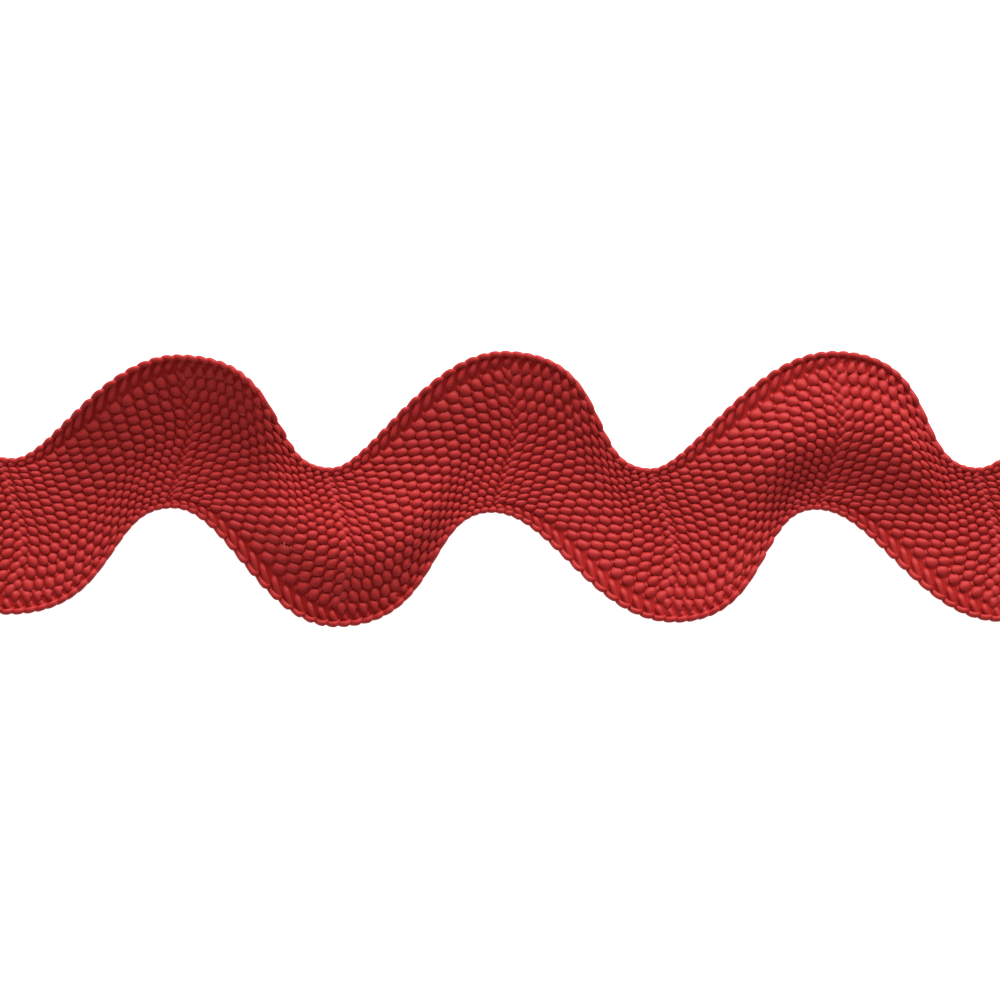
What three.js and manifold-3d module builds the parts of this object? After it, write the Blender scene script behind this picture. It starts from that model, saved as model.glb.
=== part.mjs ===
// A cut length of wide ric rac, the waved flat braid, lying face up on a surface.
// The band is one closed solid. X runs along the braid, Y across it, Z up, in millimetres.
// The origin is at the middle of the band's box, on the surface that it lies on.

import * as THREE from 'three';
import { mergeVertices } from 'three/addons/utils/BufferGeometryUtils.js';
import Module from 'manifold-3d';

// Driving dimensions
const LENGTH = 180;
const THICKNESS = 1.8;
const WAVE_LENGTH = 44.8;

// The braid has an odd number of yarns, and each one turns once at either selvedge in a wave
const YARNS = 33;
const ROWS_PER_WAVE = 2 * YARNS;

// A row of stitches leans this far ahead at the upper selvedge, and as far back at the lower one
const ROW_LEAN = 1.6;
const ROW_LEAN_START = -0.08;

// The turned yarns stand proud of the selvedge as small scallops
const SCALLOP = 0.15;

// The selvedges are rounded: the flat of the cloth stops this far from the edge
const SELVEDGE_ROUND = 0.7;

// Each bend of the band, from left to right. upper_x and upper_y place the turn of the upper
// selvedge, lower_x and lower_y that of the lower one. rim is how far the outer selvedge curls
// off the surface there, and ridge how far the cloth between the two selvedges is puffed up.
const BENDS = [
  { upper_x: -111.5, upper_y: 3.2, lower_x: -112.5, lower_y: -17.9, rim: 1.2, ridge: 0.0 },
  { upper_x: -88.6, upper_y: 18.6, lower_x: -89.6, lower_y: -2.9, rim: 0.6, ridge: 1.2 },
  { upper_x: -67.0, upper_y: 4.2, lower_x: -67.6, lower_y: -17.2, rim: 1.4, ridge: 0.0 },
  { upper_x: -44.1, upper_y: 18.4, lower_x: -45.1, lower_y: -2.6, rim: 5.0, ridge: 0.0 },
  { upper_x: -23.1, upper_y: 2.9, lower_x: -22.6, lower_y: -18.9, rim: 0.0, ridge: 1.9 },
  { upper_x: 0.5, upper_y: 18.9, lower_x: -1.1, lower_y: -3.2, rim: 2.2, ridge: 0.0 },
  { upper_x: 20.9, upper_y: 2.8, lower_x: 24.0, lower_y: -18.3, rim: 2.8, ridge: 0.0 },
  { upper_x: 46.0, upper_y: 18.9, lower_x: 43.6, lower_y: -2.8, rim: 0.0, ridge: 2.2 },
  { upper_x: 66.0, upper_y: 2.9, lower_x: 68.9, lower_y: -18.2, rim: 2.8, ridge: 0.0 },
  { upper_x: 90.8, upper_y: 18.6, lower_x: 88.4, lower_y: -3.0, rim: 1.0, ridge: 0.8 },
  { upper_x: 111.0, upper_y: 3.1, lower_x: 113.6, lower_y: -18.3, rim: 1.2, ridge: 0.0 },
];

// Between two turns a selvedge follows a cubic curve that is level at both. Its handles, as
// shares of the stretch, are short at the tight inner turn and long at the wide outer one.
// The flank that follows an inner turn is the gentle one, and the next one is steep.
const UPPER_HANDLES = { gentle_inner: 0.21, gentle_outer: 0.45, steep_outer: 0.79, steep_inner: 0.48 };
const LOWER_HANDLES = { gentle_inner: 0.33, gentle_outer: 0.46, steep_outer: 0.69, steep_inner: 0.43 };

// Where the curl begins, as a share of the way across from the inner to the outer selvedge, how
// far off the middle line a selvedge is when its bend starts to act, and how soon it acts fully
const CURL_START = 0.35;
const BEND_START = 4.3;
const BEND_FULL = 0.8;

// A ridge rises gently from the inner selvedge and falls steeply to the outer one: above 1, its
// top is nearer to the outer one
const RIDGE_SKEW = 1.5;

// Where the flat of the cloth is divided, as shares of the way across, so that it can curl
const CORNERS = [0.2, 0.35, 0.5, 0.65, 0.8];

// How often the search for a point of a selvedge halves its range, and how close two corners
// are when they count as one
const HALVINGS = 30;
const SAME_CORNER = 1e-5;

// The box that trims both ends is wider and taller than the band
const TRIM_WIDTH = 60;
const TRIM_HEIGHT = 20;

// One selvedge as a list of cubic curves from turn to turn
function selvedge(xColumn, yColumn, handles, firstIsInner) {
  const flanks = [];
  for (let i = 0; i + 1 < BENDS.length; i += 1) {
    const start = new THREE.Vector2(BENDS[i][xColumn], BENDS[i][yColumn]);
    const end = new THREE.Vector2(BENDS[i + 1][xColumn], BENDS[i + 1][yColumn]);
    const startIsInner = (i % 2 === 0) === firstIsInner;
    const before = startIsInner ? handles.gentle_inner : handles.steep_outer;
    const after = startIsInner ? handles.gentle_outer : handles.steep_inner;
    const span = end.x - start.x;
    const startHandle = new THREE.Vector2(start.x + before * span, start.y);
    const endHandle = new THREE.Vector2(end.x - after * span, end.y);
    flanks.push(new THREE.CubicBezierCurve(start, startHandle, endHandle, end));
  }
  return flanks;
}

const UPPER = selvedge('upper_x', 'upper_y', UPPER_HANDLES, true);
const LOWER = selvedge('lower_x', 'lower_y', LOWER_HANDLES, false);

// The point of a selvedge at a given x, with its direction, found by halving the flank's range
function selvedgeAt(flanks, x) {
  const last = flanks[flanks.length - 1];
  const flank = flanks.find((curve) => x <= curve.v3.x) || last;
  let low = 0;
  let high = 1;
  for (let i = 0; i < HALVINGS; i += 1) {
    const middle = (low + high) / 2;
    if (flank.getPoint(middle).x < x) low = middle;
    else high = middle;
  }
  return { point: flank.getPoint(low), tangent: flank.getTangent(low) };
}

// How strongly the bend on one side acts on this row: 0 at the inner turns, 1 at an outer one
function bendWeight(height, outerHeight) {
  const out = (height - BEND_START) / (outerHeight - BEND_START);
  return THREE.MathUtils.smoothstep(out, 0, BEND_FULL);
}

// The outer bend nearest to x on the upper side (odd rows of the table) or the lower (even rows)
function nearestBend(x, column, parity) {
  const bends = BENDS.filter((bend, i) => i % 2 === parity);
  return bends.reduce((a, b) => (Math.abs(b[column] - x) < Math.abs(a[column] - x) ? b : a));
}

// Height of the cloth off the surface, at a share of the way from the lower selvedge to the upper
function lift(row, share) {
  const { upperBend, lowerBend, upperWeight, lowerWeight } = row;
  const sides = [
    { bend: upperBend, weight: upperWeight, reach: share },
    { bend: lowerBend, weight: lowerWeight, reach: 1 - share },
  ];
  let height = 0;
  for (const { bend, weight, reach } of sides) {
    const out = Math.max(0, (reach - CURL_START) / (1 - CURL_START));
    const ridge = Math.sin(Math.PI * reach ** RIDGE_SKEW) ** 2;
    height += weight * (bend.rim * out * out + bend.ridge * ridge);
  }
  return height;
}

// One row of stitches across the band: its two selvedge points, with the scallop, and its bends.
// The yarns turn at every odd step above and at every even one below.
function rowAt(step) {
  const wave = step / ROWS_PER_WAVE;
  const middle = WAVE_LENGTH * wave;
  const lean = ROW_LEAN * Math.sin(2 * Math.PI * (wave - ROW_LEAN_START));
  const upper = selvedgeAt(UPPER, middle + lean);
  const lower = selvedgeAt(LOWER, middle - lean);
  const proud = step % 2 === 0 ? -SCALLOP : SCALLOP;
  const upperOut = new THREE.Vector2(-upper.tangent.y, upper.tangent.x);
  const lowerOut = new THREE.Vector2(lower.tangent.y, -lower.tangent.x);
  const upperBend = nearestBend(upper.point.x, 'upper_x', 1);
  const lowerBend = nearestBend(lower.point.x, 'lower_x', 0);
  return {
    upper: upper.point.clone().addScaledVector(upperOut, proud),
    lower: lower.point.clone().addScaledVector(lowerOut, -proud),
    upperBend,
    lowerBend,
    upperWeight: bendWeight(upper.point.y, upperBend.upper_y),
    lowerWeight: bendWeight(-lower.point.y, -lowerBend.lower_y),
  };
}

// The closed outline of the cloth in one row: along the face from selvedge to selvedge, then
// back along the underside. The face and the underside stop short of the rounded edges.
function ringAt(step) {
  const row = rowAt(step);
  const width = row.upper.distanceTo(row.lower);
  const flat = SELVEDGE_ROUND / width;
  const shares = [flat, ...CORNERS, 1 - flat];
  const place = (share, height) => {
    const spot = row.lower.clone().lerp(row.upper, share);
    return new THREE.Vector3(spot.x, spot.y, lift(row, share) + height);
  };
  const face = shares.map((share) => place(share, THICKNESS));
  const underside = shares.map((share) => place(share, 0)).reverse();
  return [place(0, THICKNESS / 2), ...face, place(1, THICKNESS / 2), ...underside];
}

// The whole band, a little longer than needed at both ends
function bandGeometry() {
  const reach = Math.ceil(((LENGTH / 2 + 2 * ROW_LEAN) / WAVE_LENGTH) * ROWS_PER_WAVE);
  const rings = [];
  for (let step = -reach; step <= reach; step += 1) rings.push(ringAt(step));
  const size = rings[0].length;
  const triangles = [];
  for (let i = 0; i + 1 < rings.length; i += 1) {
    for (let j = 0; j < size; j += 1) {
      const k = (j + 1) % size;
      triangles.push(rings[i][j], rings[i + 1][j], rings[i + 1][k]);
      triangles.push(rings[i][j], rings[i + 1][k], rings[i][k]);
    }
  }
  const first = rings[0];
  const last = rings[rings.length - 1];
  for (let j = 1; j + 1 < size; j += 1) {
    triangles.push(first[0], first[j], first[j + 1]);
    triangles.push(last[0], last[j + 1], last[j]);
  }
  return new THREE.BufferGeometry().setFromPoints(triangles);
}

const wasm = await Module();
wasm.setup();

// A closed geometry as a solid, and a solid back as a geometry
function toSolid(geometry) {
  const bare = geometry.index ? geometry.toNonIndexed() : geometry;
  bare.deleteAttribute('normal');
  bare.deleteAttribute('uv');
  const merged = mergeVertices(bare, SAME_CORNER);
  return new wasm.Manifold(new wasm.Mesh({
    numProp: 3,
    vertProperties: new Float32Array(merged.attributes.position.array),
    triVerts: new Uint32Array(merged.index.array),
  }));
}

function toGeometry(solid) {
  const mesh = solid.getMesh();
  const geometry = new THREE.BufferGeometry();
  geometry.setAttribute('position', new THREE.BufferAttribute(mesh.vertProperties, 3));
  geometry.setIndex(new THREE.BufferAttribute(mesh.triVerts, 1));
  geometry.computeVertexNormals();
  return geometry;
}

// Both ends are cut straight across
const TRIM_BOX = new THREE.BoxGeometry(LENGTH, TRIM_WIDTH, TRIM_HEIGHT);

const redYarn = new THREE.MeshStandardMaterial({
  color: 0x962a29,
  roughness: 0.55,
  metalness: 0,
});

const band = new THREE.Mesh(
  toGeometry(toSolid(bandGeometry()).intersect(toSolid(TRIM_BOX))),
  redYarn,
);
band.name = 'ric_rac_band';

const ricRac = new THREE.Group();
ricRac.add(band);

export default ricRac;
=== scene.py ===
# A cut length of wide red ric rac, lying face up on a pale table.
# It is one flat braid of thirty-three lustrous yarns, waved by its slack and tight stretches.

import math
import bpy
import numpy as np
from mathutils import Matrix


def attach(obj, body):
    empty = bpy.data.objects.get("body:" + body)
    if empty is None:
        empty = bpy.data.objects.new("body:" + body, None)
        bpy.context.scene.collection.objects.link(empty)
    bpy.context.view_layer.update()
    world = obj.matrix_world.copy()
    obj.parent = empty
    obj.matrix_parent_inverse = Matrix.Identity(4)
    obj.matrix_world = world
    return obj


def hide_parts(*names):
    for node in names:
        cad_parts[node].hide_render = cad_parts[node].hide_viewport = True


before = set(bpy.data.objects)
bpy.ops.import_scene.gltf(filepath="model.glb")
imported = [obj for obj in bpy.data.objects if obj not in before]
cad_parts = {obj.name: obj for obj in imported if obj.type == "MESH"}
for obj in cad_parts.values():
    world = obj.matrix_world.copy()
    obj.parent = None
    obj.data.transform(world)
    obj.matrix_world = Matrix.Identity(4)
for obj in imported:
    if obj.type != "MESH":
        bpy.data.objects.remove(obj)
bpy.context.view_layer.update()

# The camera hangs far above the braid and looks straight down, with a long lens, so that the
# face of the braid fills the picture from side to side and both cut ends lie just outside it.
PICTURE_WIDTH = 0.138
PICTURE_MIDDLE_Y = -0.00152
LENS = 200
SENSOR = 36
bpy.ops.object.select_all(action="DESELECT")
camera_height = PICTURE_WIDTH * LENS / SENSOR
bpy.ops.object.camera_add(location=(0, PICTURE_MIDDLE_Y, camera_height), rotation=(0, 0, 0))
camera = bpy.context.object
camera.data.lens = LENS
camera.data.sensor_width = SENSOR
camera.data.clip_start = 0.01
bpy.context.scene.camera = camera
bpy.context.scene.view_settings.view_transform = "Standard"

# The heart of the braid. Where yarns cross they leave no hole: packed fibre closes the cloth
# at mid-thickness, and shows as the dark ground at the bottom of each pit between the stitches.
# Its colour is painted shade: it is darker than the yarns because the pits lie in shade.
# It carries the plan of the whole braid, the net of crossings that every yarn follows.
LENGTH = 0.180
THICKNESS = 0.0018
WAVE_LENGTH = 0.0448
YARNS = 33
STEPS_PER_WAVE = 2 * YARNS
SCALLOP = 0.00010

# A row of stitches leans ahead at the upper selvedge and as far back at the lower one, and its
# middle bows ahead of both. The bow is fullest on the side of the wide outer turn.
ROW_LEAN = 0.0016
ROW_LEAN_START = -0.08
ROW_BOW = 0.0030
BOW_SOFTNESS = 0.25
BOW_SHIFT = 0.6

# Each bend from left to right: where the upper and the lower selvedge turn, how far the outer
# selvedge curls up off the table there, and how far the cloth between the two is puffed up
BENDS = [
    {"upper": (-0.1115, 0.0032), "lower": (-0.1125, -0.0179), "rim": 0.0012, "ridge": 0.0},
    {"upper": (-0.0886, 0.0186), "lower": (-0.0896, -0.0029), "rim": 0.0006, "ridge": 0.0012},
    {"upper": (-0.0670, 0.0042), "lower": (-0.0676, -0.0172), "rim": 0.0014, "ridge": 0.0},
    {"upper": (-0.0441, 0.0184), "lower": (-0.0451, -0.0026), "rim": 0.0050, "ridge": 0.0},
    {"upper": (-0.0231, 0.0029), "lower": (-0.0226, -0.0189), "rim": 0.0, "ridge": 0.0019},
    {"upper": (0.0005, 0.0189), "lower": (-0.0011, -0.0032), "rim": 0.0022, "ridge": 0.0},
    {"upper": (0.0209, 0.0028), "lower": (0.0240, -0.0183), "rim": 0.0028, "ridge": 0.0},
    {"upper": (0.0460, 0.0189), "lower": (0.0436, -0.0028), "rim": 0.0, "ridge": 0.0022},
    {"upper": (0.0660, 0.0029), "lower": (0.0689, -0.0182), "rim": 0.0028, "ridge": 0.0},
    {"upper": (0.0908, 0.0186), "lower": (0.0884, -0.0030), "rim": 0.0010, "ridge": 0.0008},
    {"upper": (0.1110, 0.0031), "lower": (0.1136, -0.0183), "rim": 0.0012, "ridge": 0.0},
]

# Handles of the selvedge curves from turn to turn, as shares of the stretch. A flank after an
# inner turn is gentle, and the one after an outer turn is steep. Below them: where the curl
# begins, how far off the middle a bend begins to act and how soon it acts fully, and how much
# nearer to the outer selvedge the top of a puff lies.
UPPER_HANDLES = {"gentle": (0.21, 0.45), "steep": (0.79, 0.48)}
LOWER_HANDLES = {"gentle": (0.33, 0.46), "steep": (0.69, 0.43)}
CURL_START = 0.35
BEND_START = 0.0043
BEND_FULL = 0.8
RIDGE_SKEW = 1.5
CURVE_POINTS = 100


def selvedge(side, handles, first_is_inner):
    """Dense points along one selvedge, made of cubic curves that are level at every turn."""
    along = np.linspace(0, 1, CURVE_POINTS + 1)[:-1]
    xs, ys = [], []
    for i, (bend, following) in enumerate(zip(BENDS, BENDS[1:])):
        (x0, y0), (x1, y1) = bend[side], following[side]
        start_is_inner = (i % 2 == 0) == first_is_inner
        before, after = handles["gentle" if start_is_inner else "steep"]
        first = 3 * (1 - along) ** 2 * along
        second = 3 * (1 - along) * along**2
        last = along**3
        xs.append(x0 + (x1 - x0) * (first * before + second * (1 - after) + last))
        ys.append(y0 + (y1 - y0) * (second + last))
    return np.concatenate(xs), np.concatenate(ys)


def smooth_rise(value, low, high):
    """0 below low, 1 above high, and an even rise between them."""
    t = np.clip((value - low) / (high - low), 0, 1)
    return t * t * (3 - 2 * t)


def unit(vectors):
    return vectors / np.linalg.norm(vectors, axis=-1, keepdims=True)


upper_curve = selvedge("upper", UPPER_HANDLES, True)
lower_curve = selvedge("lower", LOWER_HANDLES, False)

# The net reaches a little past both ends. A step is one crossing along the braid, a row is one
# across it.
REACH = 158
steps = np.arange(-REACH, REACH + 1)
rows = np.arange(YARNS + 1)
wave = steps / STEPS_PER_WAVE
lean = ROW_LEAN * np.sin(2 * np.pi * (wave - ROW_LEAN_START))


def selvedge_row(curve, x, outwards, proud):
    """A selvedge's points at x, moved outwards by proud at every second step and back between."""
    slope = np.gradient(curve[1], curve[0])
    y = np.interp(x, *curve)
    across = np.stack([-np.interp(x, curve[0], slope), np.ones_like(x)], axis=1) * outwards
    return np.stack([x, y], axis=1) + unit(across) * proud[:, None]


# A yarn's middle runs half a yarn inside the outline of the cloth
SELVEDGE_YARN = 0.00088
turns_up = np.where(steps % 2 == 1, SCALLOP, -SCALLOP) - SELVEDGE_YARN / 2
turns_down = np.where(steps % 2 == 0, SCALLOP, -SCALLOP) - SELVEDGE_YARN / 2
upper = selvedge_row(upper_curve, WAVE_LENGTH * wave + lean, 1, turns_up)
lower = selvedge_row(lower_curve, WAVE_LENGTH * wave - lean, -1, turns_down)
share = rows[None, :, None] / YARNS
plain_net = lower[:, None] * (1 - share) + upper[:, None] * share

# While one flank of a wave was braided, the yarns that run one way were drawn tight and those
# that run the other way fed slack, and for the next flank the pull changed over at once. The
# rising yarns are slack over RISING_SHARE of a wave around RISING_MIDDLE. Tight yarns pull their
# crossings straight, and the net settles part of the way between that pull and even spacing.
RISING_MIDDLE = -0.26
RISING_SHARE = 0.52
CHANGE_LENGTH = 0.012
TIGHT_PULL = 3
SETTLING_ROUNDS = 4000
SETTLING_STEP = 0.75
SETTLED_SHARE = 0.5
from_middle = np.abs((wave - RISING_MIDDLE + 0.5) % 1 - 0.5)
rising_slack = 0.5 + 0.5 * np.tanh((RISING_SHARE / 2 - from_middle) / CHANGE_LENGTH)
rising_slack = np.repeat(rising_slack[:, None], len(rows), axis=1)
falling_slack = 1 - rising_slack
rising_pull = (TIGHT_PULL + (1 - TIGHT_PULL) * rising_slack)[1:-1, 1:-1, None]
falling_pull = (TIGHT_PULL + (1 - TIGHT_PULL) * falling_slack)[1:-1, 1:-1, None]
settled = plain_net.copy()
for _ in range(SETTLING_ROUNDS):
    rising_pair = settled[2:, 2:] + settled[:-2, :-2]
    falling_pair = settled[2:, :-2] + settled[:-2, 2:]
    pulled = rising_pull * rising_pair + falling_pull * falling_pair
    middle = pulled / (2 * (rising_pull + falling_pull))
    settled[1:-1, 1:-1] += SETTLING_STEP * (middle - settled[1:-1, 1:-1])
flat_net = plain_net + SETTLED_SHARE * (settled - plain_net)
outer_side = np.cos(2 * np.pi * wave)[:, None]
way_across = rows / YARNS
shifted = way_across - BOW_SHIFT * outer_side * way_across * (1 - way_across)
bow_end = math.hypot(1, BOW_SOFTNESS)
flat_net[..., 0] += ROW_BOW * (1 - np.hypot(2 * shifted - 1, BOW_SOFTNESS) / bow_end)


def bend_shape(points, side, parity, height_sign):
    """For each row: how strongly its nearest outer bend acts, and that bend's rim and ridge."""
    outer = [bend for i, bend in enumerate(BENDS) if i % 2 == parity]
    xs = np.array([bend[side][0] for bend in outer])
    nearest = np.abs(points[:, :1] - xs).argmin(axis=1)
    reach = np.array([height_sign * bend[side][1] for bend in outer])[nearest]
    out = (height_sign * points[:, 1] - BEND_START) / (reach - BEND_START)
    rim = np.array([bend["rim"] for bend in outer])[nearest]
    ridge = np.array([bend["ridge"] for bend in outer])[nearest]
    return smooth_rise(out, 0, BEND_FULL), rim, ridge


def lift_from(side_shape, reach):
    """Height of the cloth's underside for one side's bends, at each share of the way out."""
    weight, rim, ridge = (values[:, None] for values in side_shape)
    out = np.maximum(0, (reach - CURL_START) / (1 - CURL_START))
    return weight * (rim * out**2 + ridge * np.sin(np.pi * reach**RIDGE_SKEW) ** 2)


upper_shape = bend_shape(upper, "upper", 1, 1)
lower_shape = bend_shape(lower, "lower", 0, -1)
lift = lift_from(upper_shape, rows / YARNS) + lift_from(lower_shape, 1 - rows / YARNS)
net = np.concatenate([flat_net, (lift + THICKNESS / 2)[..., None]], axis=2)
normals = unit(np.cross(np.gradient(net, axis=0), np.gradient(net, axis=1)))


def cut_ends(piece):
    """Cuts a piece straight across at both ends of the braid, as with scissors."""
    bpy.ops.object.select_all(action="DESELECT")
    piece.select_set(True)
    bpy.context.view_layer.objects.active = piece
    bpy.ops.object.mode_set(mode="EDIT")
    for end in (-1, 1):
        bpy.ops.mesh.select_all(action="SELECT")
        bpy.ops.mesh.bisect(
            plane_co=(end * LENGTH / 2, 0, 0),
            plane_no=(end, 0, 0),
            use_fill=True,
            clear_outer=True,
        )
    bpy.ops.object.mode_set(mode="OBJECT")


def mesh_piece(name, points, faces):
    """A new object at the origin, with its place in its mesh."""
    mesh = bpy.data.meshes.new(name)
    mesh.from_pydata(points.reshape(-1, 3).tolist(), [], faces.reshape(-1, faces.shape[-1]).tolist())
    piece = bpy.data.objects.new(name, mesh)
    bpy.context.collection.objects.link(piece)
    return piece


class Wire:
    """An output of a shader node. Arithmetic on wires adds the Math nodes that it needs."""

    def __init__(self, tree, socket):
        self.tree = tree
        self.socket = socket

    @classmethod
    def node(cls, tree, kind, settings, inputs, output=0):
        """Adds a node, sets it up, joins or sets its inputs, and returns one of its outputs."""
        made = tree.nodes.new(kind)
        for name, value in settings.items():
            setattr(made, name, value)
        for name, value in inputs.items():
            if isinstance(value, Wire):
                tree.links.new(value.socket, made.inputs[name])
            else:
                made.inputs[name].default_value = value
        return cls(tree, made.outputs[output])

    def maths(self, operation, first, second):
        return Wire.node(self.tree, "ShaderNodeMath", {"operation": operation}, {0: first, 1: second})

    def __add__(self, other):
        return self.maths("ADD", self, other)

    def __radd__(self, other):
        return self.maths("ADD", other, self)

    def __sub__(self, other):
        return self.maths("SUBTRACT", self, other)

    def __rsub__(self, other):
        return self.maths("SUBTRACT", other, self)

    def __mul__(self, other):
        return self.maths("MULTIPLY", self, other)

    def __rmul__(self, other):
        return self.maths("MULTIPLY", other, self)

    def __abs__(self):
        return Wire.node(self.tree, "ShaderNodeMath", {"operation": "ABSOLUTE"}, {0: self})


def new_finish(name):
    """An empty material, with its tree and its surface output."""
    material = bpy.data.materials.new(name)
    material.use_nodes = True
    tree = material.node_tree
    tree.nodes.clear()
    return material, tree, tree.nodes.new("ShaderNodeOutputMaterial")


def blend_colours(factor, dark, light):
    return Wire.node(
        factor.tree,
        "ShaderNodeMix",
        {"data_type": "RGBA"},
        {0: factor, 6: dark, 7: light},
        output=2,
    )


HEART_THICKNESS = 0.0003
HEART_STEPS = 2
# Both heart colours are darker than the yarn red, as painted shade in the pits; the speck mixes them
# at random.
HEART_SHADE_DARK = (0.260, 0.0110, 0.0100, 1)
HEART_SHADE_RED = (0.340, 0.0140, 0.0130, 1)
HEART_SPECK = 4000

heart_net = net[::HEART_STEPS]
heart_long, heart_wide = heart_net.shape[:2]
bpy.ops.object.select_all(action="DESELECT")
bpy.ops.mesh.primitive_grid_add(
    x_subdivisions=heart_long - 1,
    y_subdivisions=heart_wide - 1,
    size=LENGTH,
)
heart = bpy.context.object
heart.name = heart.data.name = "braid_heart"
for vertex in heart.data.vertices:
    step = round((vertex.co.x / LENGTH + 0.5) * (heart_long - 1))
    row = round((vertex.co.y / LENGTH + 0.5) * (heart_wide - 1))
    vertex.co = heart_net[step, row]
walls = heart.modifiers.new("walls", "SOLIDIFY")
walls.thickness = HEART_THICKNESS
walls.offset = 0
bpy.ops.object.modifier_apply(modifier=walls.name)
cut_ends(heart)
bpy.ops.object.shade_smooth()

# The heart's finish is packed fibre coloured darker than the yarns, as painted shade.
heart_finish, tree, surface = new_finish("packed_fibre_painted_shade")
place = Wire.node(tree, "ShaderNodeTexCoord", {}, {}, "Object")
speck = Wire.node(tree, "ShaderNodeTexNoise", {}, {"Vector": place, "Scale": HEART_SPECK})
bumps = Wire.node(tree, "ShaderNodeBump", {}, {"Height": speck, "Strength": 0.5, "Distance": 0.0001})
shader = Wire.node(tree, "ShaderNodeBsdfPrincipled", {}, {
    "Base Color": blend_colours(speck, HEART_SHADE_DARK, HEART_SHADE_RED),
    "Roughness": 0.8,
    "Specular IOR Level": 0.05,
    "Normal": bumps,
})
tree.links.new(shader.socket, surface.inputs["Surface"])
heart.data.materials.append(heart_finish)

# The yarns. Thirty-three bundles of bright filament, each one braided over one and under one to
# a selvedge, round it and back. A slack yarn swells into a wide soft float wherever it passes on
# top, and a tight one stays thin and low, which is what waves the braid. They are gathered into
# a few pieces, each of them every fifth yarn.
GROUPS = 5
RINGS_PER_STEP = 6
SIDES = 8
YARN_REACH = 146

# How much of its lane a yarn fills where it meets its like, how much a slack yarn spreads over
# a tight one, how much the tight one is squeezed under it, and the widest and the thinnest
# that a yarn gets
EVEN_FILL = 1.0
SLACK_SPREAD = 0.90
TIGHT_SQUEEZE = 0.40
WIDEST = 0.00185
THINNEST = 0.00040

# How thick a yarn is, how far it swings off the middle of the cloth, how blunt its floats are,
# how much it is drawn in between two crossings, and how unevenly its stitches lie
TIGHT_HEIGHT = 0.00052
SLACK_HEIGHT = 0.00066
SWING = 0.00040
SLACK_SWING = 0.00016
EVEN_SHARE = 0.5
SWING_SHARE = 0.33
SWING_BLUNTNESS = 0.55
TIGHT_WAIST = 0.12
SLACK_WAIST = 0.50
WAIST_SHARPNESS = 6
SLACK_THINNING = 0.30
CROSSING_PLAY = 0.00005
FLOAT_PLAY = 0.09

# At a selvedge a yarn ends its way across in a slanted float like a leaf, slips under the strand
# that turned before it, and runs on along the rim on top. Then it is tucked back into the cloth,
# so the rim is a slim slanted rope.
SELVEDGE_WIDTH = 0.00086
SELVEDGE_HEIGHT = 0.00082
SELVEDGE_AHEAD = 0.3
SELVEDGE_TOP = -0.00010
TUCK_AHEAD = 1
TUCK_IN = 0.10
TUCK_TOP = 0.00022
TUCK_DIVE = 0.0016
TUCK_RISE = 0.0026
TUCK_SINK = 0.00008

# How far the rows next to a selvedge move in, in rows, where the yarns that arrive there are
# slack. It makes room for their leaves. Where those yarns are tight, the rows move out instead.
SELVEDGE_IN = [0.35, 0.70, 0.75, 0.65, 0.50, 0.35, 0.20, 0.10]

rng = np.random.default_rng(33)
crossing_net = net.copy()
crossing_net[:, 1:-1, :2] += rng.normal(0, CROSSING_PLAY, crossing_net[:, 1:-1, :2].shape)
padded_net = np.pad(net, ((1, 1), (1, 1), (0, 0)), mode="reflect", reflect_type="odd")
rising_way = (padded_net[2:, 2:] - padded_net[:-2, :-2]) / 2
falling_way = (padded_net[2:, :-2] - padded_net[:-2, 2:]) / 2
slack_arrives = np.cos(2 * np.pi * (wave - RISING_MIDDLE))[:, None]
for row, inwards in enumerate(SELVEDGE_IN, 1):
    crossing_net[:, row] -= inwards * slack_arrives * (net[:, row + 1] - net[:, row])
    crossing_net[:, -row - 1] += inwards * slack_arrives * (net[:, -row - 2] - net[:, -row - 1])
crossing_net[:-1, [0, -1]] += SELVEDGE_AHEAD * np.diff(net[:, [0, -1]], axis=0)


def hermite(values, slopes, rings):
    """A smooth line through a value at each crossing, with that many rings to a step."""
    t = (np.arange(rings) / rings)[None, :]
    shape = (len(values) - 1, rings) + (1,) * (values.ndim - 1)
    a, b = (2 * t**3 - 3 * t**2 + 1), (-2 * t**3 + 3 * t**2)
    c, d = (t**3 - 2 * t**2 + t), (t**3 - t**2)
    a, b, c, d = (np.broadcast_to(w, shape[:2]).reshape(shape) for w in (a, b, c, d))
    through = a * values[:-1, None] + b * values[1:, None]
    line = through + c * slopes[:-1, None] + d * slopes[1:, None]
    return line.reshape(-1, *values.shape[1:])


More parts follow.
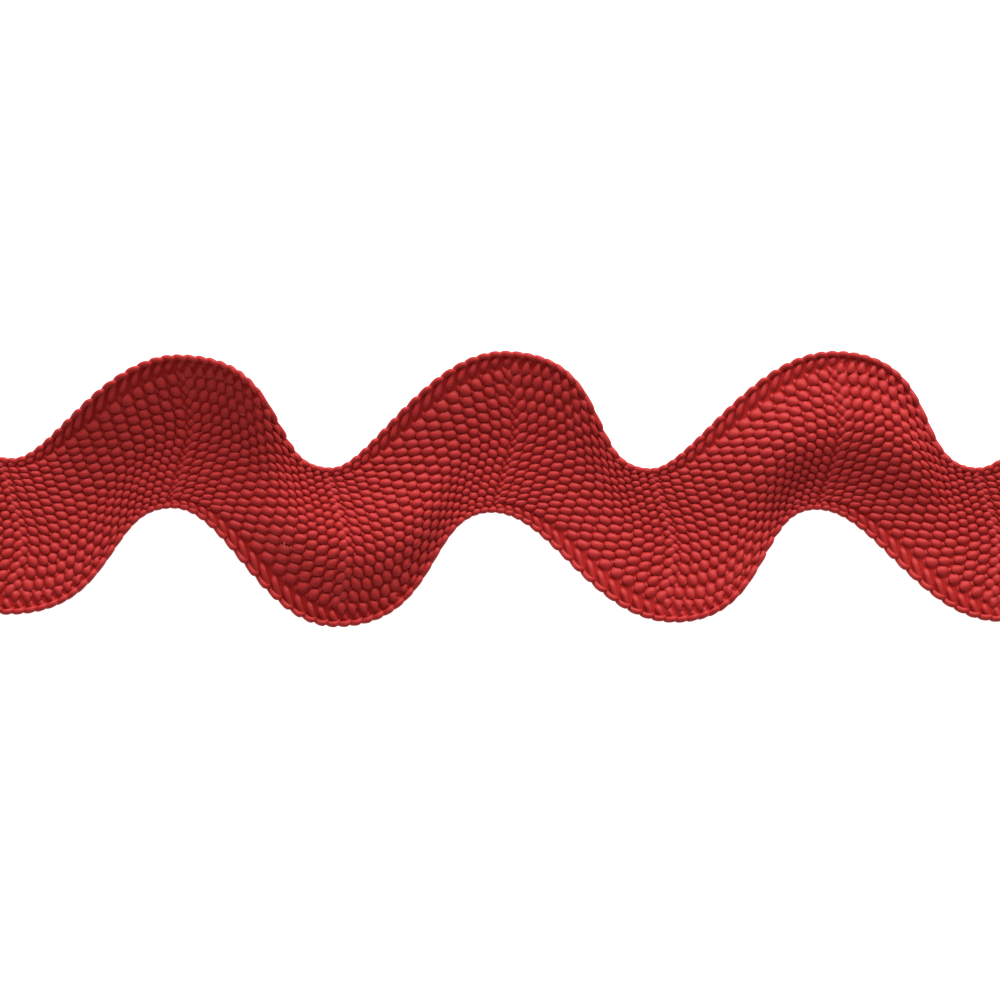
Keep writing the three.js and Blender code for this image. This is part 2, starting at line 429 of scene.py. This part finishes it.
def yarn_tube(number):
    """The ring points of one yarn and its length at each ring. Also, for each point, how high it
    lies in the cloth and how hard the yarn is squeezed there, which the finish turns into painted
    light and shade."""
    way = (steps - 2 * number) % STEPS_PER_WAVE
    row = YARNS - np.abs(way - YARNS)
    rising = way < YARNS
    at_edge = (row == 0) | (row == YARNS)
    keep = np.abs(steps) <= YARN_REACH
    index = (np.arange(len(steps)), row)

    rising_own, falling_own = rising_slack[index], falling_slack[index]
    own = np.where(rising, rising_own, falling_own)
    other = np.where(rising, falling_own, rising_own)
    across = np.where(rising[:, None], -falling_way[index], rising_way[index])
    lane = np.linalg.norm(across, axis=1)
    over = np.where(rising, 1, -1) * np.where(steps % 2 == 0, 1, -1)
    swing = (SWING + SLACK_SWING * own * other) * (EVEN_SHARE + SWING_SHARE * (own - other))
    offset = np.where(at_edge, SELVEDGE_TOP, over * swing)
    squeezed = np.maximum(other - own, 0)
    fill = EVEN_FILL + SLACK_SPREAD * np.maximum(own - other, 0) - TIGHT_SQUEEZE * squeezed
    play = 1 + rng.normal(0, FLOAT_PLAY, len(steps))
    width = np.clip(lane * fill * play, THINNEST, WIDEST)
    beside_edge = (row == 1) | (row == YARNS - 1)
    width = np.where(beside_edge, np.minimum(width, SELVEDGE_YARN), width)
    width = np.where(at_edge, SELVEDGE_WIDTH, width)
    height = TIGHT_HEIGHT + (SLACK_HEIGHT - TIGHT_HEIGHT) * own
    height = np.where(at_edge, SELVEDGE_HEIGHT, height)

    def to_rings(values, slopes):
        return hermite(values[keep], slopes[keep], RINGS_PER_STEP)

    # The crossing after each turn moves on along the rim, where the yarn is tucked in
    path = crossing_net[index].copy()
    leaving = np.flatnonzero(np.roll(at_edge, 1) & (np.arange(len(steps)) < len(steps) - TUCK_AHEAD))
    leaving = leaving[leaving > 0]
    edge_row = row[leaving - 1]
    inner_row = row[leaving]
    rim_ahead = net[leaving + TUCK_AHEAD, edge_row]
    path[leaving] = rim_ahead + TUCK_IN * (net[leaving + TUCK_AHEAD, inner_row] - rim_ahead)
    offset[leaving] = TUCK_TOP
    width[leaving] = SELVEDGE_WIDTH
    height[leaving] = SELVEDGE_HEIGHT
    edge_slope = np.zeros(len(steps))
    edge_slope[leaving] = -TUCK_DIVE
    edge_slope[leaving + 1] = TUCK_RISE
    offset[leaving + 1] -= TUCK_SINK

    middles = to_rings(path, np.gradient(path, axis=0))
    up = unit(to_rings(normals[index], np.gradient(normals[index], axis=0)))
    offsets = to_rings(offset, edge_slope)
    peak = np.abs(to_rings(np.abs(offset), np.zeros(len(offset))))
    blunt = np.sign(offsets) * peak * (np.abs(offsets) / peak) ** SWING_BLUNTNESS
    near_edge = at_edge | np.roll(at_edge, -1) | np.roll(at_edge, 1)
    inside = np.repeat(~near_edge[keep][:-1], RINGS_PER_STEP)
    offsets = np.where(inside, blunt, offsets)
    widths = to_rings(width, np.zeros(len(width)))
    heights = to_rings(height, np.zeros(len(height)))
    part = np.tile(np.arange(RINGS_PER_STEP) / RINGS_PER_STEP, keep.sum() - 1)
    waist = np.where(at_edge, 0, TIGHT_WAIST + (SLACK_WAIST - TIGHT_WAIST) * own)
    waist = np.minimum(waist, np.roll(waist, -1))
    waists = np.repeat(waist[keep][:-1], RINGS_PER_STEP)
    widths = widths * (1 - waists * np.sin(np.pi * part) ** WAIST_SHARPNESS)
    heights = heights * (1 - SLACK_THINNING * waists / SLACK_WAIST * np.sin(np.pi * part) ** 2)

    centres = middles + up * offsets[:, None]
    forward = unit(np.gradient(centres, axis=0))
    along_edge = np.gradient(net, axis=0)[index]
    across = np.where(at_edge[:, None], np.cross(normals[index], along_edge), across)
    tucked = (leaving + TUCK_AHEAD, edge_row)
    across[leaving] = np.cross(normals[tucked], np.gradient(net, axis=0)[tucked])
    across = unit(to_rings(unit(across), np.zeros_like(across)))
    out = unit(np.cross(forward, across))
    turn = 2 * np.pi * np.arange(SIDES) / SIDES
    sideways = across[:, None] * (widths[:, None] / 2 * np.cos(turn))[..., None]
    upwards = out[:, None] * (heights[:, None] / 2 * np.sin(turn))[..., None]
    points = centres[:, None] + sideways + upwards
    length = np.concatenate([[0], np.cumsum(np.linalg.norm(np.diff(centres, axis=0), axis=1))])
    depth = ((points - middles[:, None]) * up[:, None]).sum(axis=2) / (THICKNESS / 2)
    squeeze_shade = np.repeat(to_rings(squeezed, np.zeros(len(own))), SIDES)
    return points, length, depth, squeeze_shade


def tube_faces(rings, sides, first=0):
    """The four-sided faces of an open tube, facing out."""
    ring = first + sides * np.arange(rings - 1)[:, None]
    side = np.arange(sides)[None, :]
    following = (side + 1) % sides
    corners = [ring + side, ring + following, ring + sides + following, ring + sides + side]
    return np.stack(corners, axis=2).reshape(-1, 4)


def lay_filament_map(piece, length, sides):
    """The piece's own map: x is the length along the yarn in metres, y is once round it."""
    layer = piece.data.uv_layers.new(name="filament")
    rings = len(length)
    along = np.stack([length[:-1], length[:-1], length[1:], length[1:]], axis=1)
    along = np.repeat(along, sides, axis=0)
    side = np.tile(np.arange(sides), rings - 1)
    around = np.stack([side, side + 1, side + 1, side], axis=1) / sides
    layer.data.foreach_set("uv", np.stack([along, around], axis=2).ravel())


def point_values(piece, name, values):
    """Stores one number for each point of the piece."""
    layer = piece.data.attributes.new(name, "FLOAT", "POINT")
    layer.data.foreach_set("value", values.ravel())


# The darkest of these colours is painted shade, for the yarn low in the cloth and the squeezed tight
# yarns. The brightest is the yarn's own streaks and tone together with a painted highlight, as it
# shows only on the tops of the floats.
YARN_PAINTED_SHADE = (0.34, 0.0150, 0.0140, 1)
YARN_RED = (0.355, 0.0160, 0.0160, 1)
YARN_TONE_AND_HIGHLIGHT = (0.385, 0.0195, 0.0195, 1)
YARN_ROUGHNESS = 0.45
FILAMENT_ROUGHNESS = 0.15

# The filaments are long streaks, which turn round the yarn as they run. The streaks, the patches
# of the whole cloth and each yarn's own tone brighten the tops of the floats only, a painted
# highlight. Lower in the cloth the yarn is painted darker, as painted shade in the pits.
FILAMENTS_ROUND = 26
FILAMENT_RUN = 900
FILAMENT_TWIST = 260
YARN_APART = 50
PATCH_SCALE = 160
FLOAT_FOOT = 0.30
FLOAT_TOP = 0.90
FILAMENT_MIDDLE = 0.35
FILAMENT_SHARE = 0.9
PATCH_SHARE = 0.5
TONE_SHARE = 0.25
FILAMENT_RELIEF = 0.00006

yarn_finish, tree, surface = new_finish("red_yarn_filament")
lie = Wire.node(tree, "ShaderNodeUVMap", {"uv_map": "filament"}, {}, "UV")
run = Wire.node(tree, "ShaderNodeSeparateXYZ", {}, {"Vector": lie}, "X")
around = Wire.node(tree, "ShaderNodeSeparateXYZ", {}, {"Vector": lie}, "Y") + run * FILAMENT_TWIST
tone = Wire.node(tree, "ShaderNodeAttribute", {"attribute_name": "tone"}, {}, "Fac")
strand = Wire.node(tree, "ShaderNodeCombineXYZ", {}, {
    "X": run * FILAMENT_RUN,
    "Y": around * FILAMENTS_ROUND,
    "Z": tone * YARN_APART,
})
filament = Wire.node(tree, "ShaderNodeTexNoise", {}, {"Vector": strand, "Scale": 1, "Detail": 3})
place = Wire.node(tree, "ShaderNodeTexCoord", {}, {}, "Object")
patch = Wire.node(tree, "ShaderNodeTexNoise", {}, {
    "Vector": place,
    "Scale": PATCH_SCALE,
    "Detail": 2,
})
depth = Wire.node(tree, "ShaderNodeAttribute", {"attribute_name": "depth"}, {}, "Fac")
# Painted light and shade by height: lighter on the tops of the floats, darker down in the pits.
lit = Wire.node(tree, "ShaderNodeMapRange", {"interpolation_type": "SMOOTHSTEP"}, {
    "Value": abs(depth),
    "From Min": FLOAT_FOOT,
    "From Max": FLOAT_TOP,
})
# Painted shade on the squeezed tight yarns, which lie low between the slack floats: they get the dark
# colour and no brightening.
squeeze_shade = Wire.node(tree, "ShaderNodeAttribute", {"attribute_name": "squeeze_shade"}, {}, "Fac")
ground = blend_colours(lit, YARN_PAINTED_SHADE, blend_colours(squeeze_shade, YARN_RED, YARN_PAINTED_SHADE))
# The streaks, patches and tone are the yarn's own, but they are kept to the lit tops, where they
# become a painted highlight.
brighter = (filament - FILAMENT_MIDDLE) * FILAMENT_SHARE + (patch - 0.5) * PATCH_SHARE
brighter = brighter + tone * TONE_SHARE
brighter.socket.node.use_clamp = True
bumps = Wire.node(tree, "ShaderNodeBump", {}, {
    "Height": filament,
    "Strength": 0.35,
    "Distance": FILAMENT_RELIEF,
})
shader = Wire.node(tree, "ShaderNodeBsdfPrincipled", {}, {
    "Base Color": blend_colours(brighter * lit * (1 - squeeze_shade), ground, YARN_TONE_AND_HIGHLIGHT),
    "Roughness": YARN_ROUGHNESS + filament * FILAMENT_ROUGHNESS,
    "Specular IOR Level": 0.18,
    "Sheen Weight": 0.08,
    "Sheen Roughness": 0.4,
    "Sheen Tint": (1.0, 0.25, 0.22, 1),
    "Normal": bumps,
})
tree.links.new(shader.socket, surface.inputs["Surface"])

for group in range(GROUPS):
    strands = []
    for number in range(group, YARNS, GROUPS):
        points, length, depth_values, squeeze_shade_values = yarn_tube(number)
        strand_piece = mesh_piece(f"yarn_{number}", points, tube_faces(len(points), SIDES))
        lay_filament_map(strand_piece, length, SIDES)
        point_values(strand_piece, "depth", depth_values)
        point_values(strand_piece, "squeeze_shade", squeeze_shade_values)
        tones = np.repeat(rng.uniform(0, 1), len(points) * SIDES)
        point_values(strand_piece, "tone", tones)
        cut_ends(strand_piece)
        strands.append(strand_piece)
    bpy.ops.object.select_all(action="DESELECT")
    for strand_piece in strands:
        strand_piece.select_set(True)
    bpy.context.view_layer.objects.active = strands[0]
    bpy.ops.object.join()
    yarns = bpy.context.object
    yarns.name = yarns.data.name = f"braid_yarns_{group + 1}"
    bpy.ops.object.shade_smooth()
    yarns.data.materials.append(yarn_finish)
    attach(yarns, "root")

# Loose fibres: a few fine ends of filament that have broken out of the yarns. Each one springs
# from the face or the rim of the braid, and lies over it in a shallow arc. at is where it starts,
# and way the direction that it sets out in, in radians.
FIBRE_THICKNESS = 0.00009
FIBRE_SIDES = 5
FIBRE_POINTS = 12
FIBRE_LOW = 0.00045
FIBRE_CURL = 1.0
FIBRE_TAPER = 0.6
FIBRE_RISE = 0.15
FIBRES = [
    {"at": (-0.0296, -0.0072), "way": -1.85, "length": 0.0014},
    {"at": (-0.0288, -0.0078), "way": -1.30, "length": 0.0007},
    {"at": (0.0152, -0.0098), "way": -0.70, "length": 0.0008},
    {"at": (0.0331, -0.0102), "way": -2.20, "length": 0.0008},
    {"at": (-0.0056, -0.0042), "way": -0.50, "length": 0.0009},
    {"at": (-0.0053, -0.0041), "way": -1.10, "length": 0.0007},
    {"at": (0.0131, 0.0096), "way": 0.60, "length": 0.0010},
    {"at": (0.0136, 0.0086), "way": 0.20, "length": 0.0009},
    {"at": (0.0140, 0.0076), "way": 0.75, "length": 0.0011},
    {"at": (0.0144, 0.0066), "way": 0.35, "length": 0.0009},
    {"at": (-0.0350, 0.0100), "way": 2.40, "length": 0.0007},
    {"at": (0.0585, 0.0095), "way": 0.30, "length": 0.0008},
    {"at": (-0.0155, -0.0178), "way": -1.20, "length": 0.0007},
]
FIBRE_PALE = (0.62, 0.16, 0.13, 1)
FIBRE_RED = (0.42, 0.05, 0.045, 1)
FIBRE_STREAK = 3000

fibre_points = []
fibre_faces = []
for fibre in FIBRES:
    start = np.array(fibre["at"])
    nearest = np.linalg.norm(net[..., :2] - start, axis=2)
    ground = net[np.unravel_index(nearest.argmin(), nearest.shape)][2]
    t = np.linspace(0, 1, FIBRE_POINTS)
    turning = fibre["way"] + FIBRE_CURL * t
    step_length = fibre["length"] / (FIBRE_POINTS - 1)
    x = start[0] + np.cumsum(np.cos(turning)) * step_length
    y = start[1] + np.cumsum(np.sin(turning)) * step_length
    z = ground + FIBRE_LOW + FIBRE_RISE * fibre["length"] * np.sin(np.pi * t)
    line = np.stack([x, y, z], axis=1)
    forward = unit(np.gradient(line, axis=0))
    sideways = unit(np.cross(forward, [0, 0, 1]))
    upwards = np.cross(sideways, forward)
    turn = 2 * np.pi * np.arange(FIBRE_SIDES) / FIBRE_SIDES
    ring = sideways[:, None] * np.cos(turn)[None, :, None]
    ring = ring + upwards[:, None] * np.sin(turn)[None, :, None]
    taper = (1 - FIBRE_TAPER * t)[:, None, None] * FIBRE_THICKNESS / 2
    first_point = len(fibre_faces) * FIBRE_POINTS * FIBRE_SIDES
    fibre_faces.append(tube_faces(FIBRE_POINTS, FIBRE_SIDES, first_point))
    fibre_points.append(line[:, None] + ring * taper)
fibres = mesh_piece("loose_fibres", np.array(fibre_points), np.concatenate(fibre_faces))
bpy.ops.object.select_all(action="DESELECT")
fibres.select_set(True)
bpy.context.view_layer.objects.active = fibres
bpy.ops.object.mode_set(mode="EDIT")
bpy.ops.mesh.select_all(action="SELECT")
bpy.ops.mesh.fill_holes(sides=FIBRE_SIDES)
bpy.ops.object.mode_set(mode="OBJECT")
bpy.ops.object.shade_smooth()

fibre_finish, tree, surface = new_finish("pale_fibre")
place = Wire.node(tree, "ShaderNodeTexCoord", {}, {}, "Object")
streak = Wire.node(tree, "ShaderNodeTexNoise", {}, {"Vector": place, "Scale": FIBRE_STREAK})
shader = Wire.node(tree, "ShaderNodeBsdfPrincipled", {}, {
    "Base Color": blend_colours(streak, FIBRE_RED, FIBRE_PALE),
    "Roughness": 0.5,
    "Specular IOR Level": 0.3,
})
tree.links.new(shader.socket, surface.inputs["Surface"])
fibres.data.materials.append(fibre_finish)
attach(fibres, "root")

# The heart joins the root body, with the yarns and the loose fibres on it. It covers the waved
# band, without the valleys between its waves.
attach(heart, "root")
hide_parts("ric_rac_band")

# The table: a plain white light table, far larger than the braid, lit evenly from within. Its
# top is matt plastic.
TABLE_SIZE = 1.2
TABLE_GLOW = 0.8
TABLE_PALE = (0.90, 0.90, 0.90, 1)
TABLE_WHITE = (0.93, 0.93, 0.93, 1)
TABLE_MOTTLE = 40
bpy.ops.object.select_all(action="DESELECT")
bpy.ops.mesh.primitive_plane_add(size=TABLE_SIZE, location=(0, 0, 0))
table = bpy.context.object
table.name = table.data.name = "table_top"
table_finish, tree, surface = new_finish("lit_white_top")
place = Wire.node(tree, "ShaderNodeTexCoord", {}, {}, "Object")
mottle = Wire.node(tree, "ShaderNodeTexNoise", {}, {"Vector": place, "Scale": TABLE_MOTTLE})
shader = Wire.node(tree, "ShaderNodeBsdfPrincipled", {}, {
    "Base Color": blend_colours(mottle, TABLE_PALE, TABLE_WHITE),
    "Roughness": 0.9,
    "Specular IOR Level": 0.1,
    "Emission Color": (1, 1, 1, 1),
    "Emission Strength": TABLE_GLOW,
})
tree.links.new(shader.socket, surface.inputs["Surface"])
table.data.materials.append(table_finish)

# The light: a wide soft panel beyond the far side of the table, and an even white room.
PANEL_HEIGHT = 0.42
PANEL_BACK = 1.00
PANEL_SIDE = 0.12
PANEL_WIDTH = 1.4
PANEL_DEPTH = 0.6
PANEL_POWER = 26
ROOM_LIGHT = 0.53
bpy.ops.object.light_add(
    type="AREA",
    location=(PANEL_SIDE, PANEL_BACK, PANEL_HEIGHT),
    rotation=(-math.atan2(PANEL_BACK, PANEL_HEIGHT), 0, 0),
)
panel = bpy.context.object
panel.data.shape = "RECTANGLE"
panel.data.size = PANEL_WIDTH
panel.data.size_y = PANEL_DEPTH
panel.data.energy = PANEL_POWER
room = bpy.data.worlds.new("room")
bpy.context.scene.world = room
room.use_nodes = True
room.node_tree.nodes["Background"].inputs["Color"].default_value = (1, 1, 1, 1)
room.node_tree.nodes["Background"].inputs["Strength"].default_value = ROOM_LIGHT
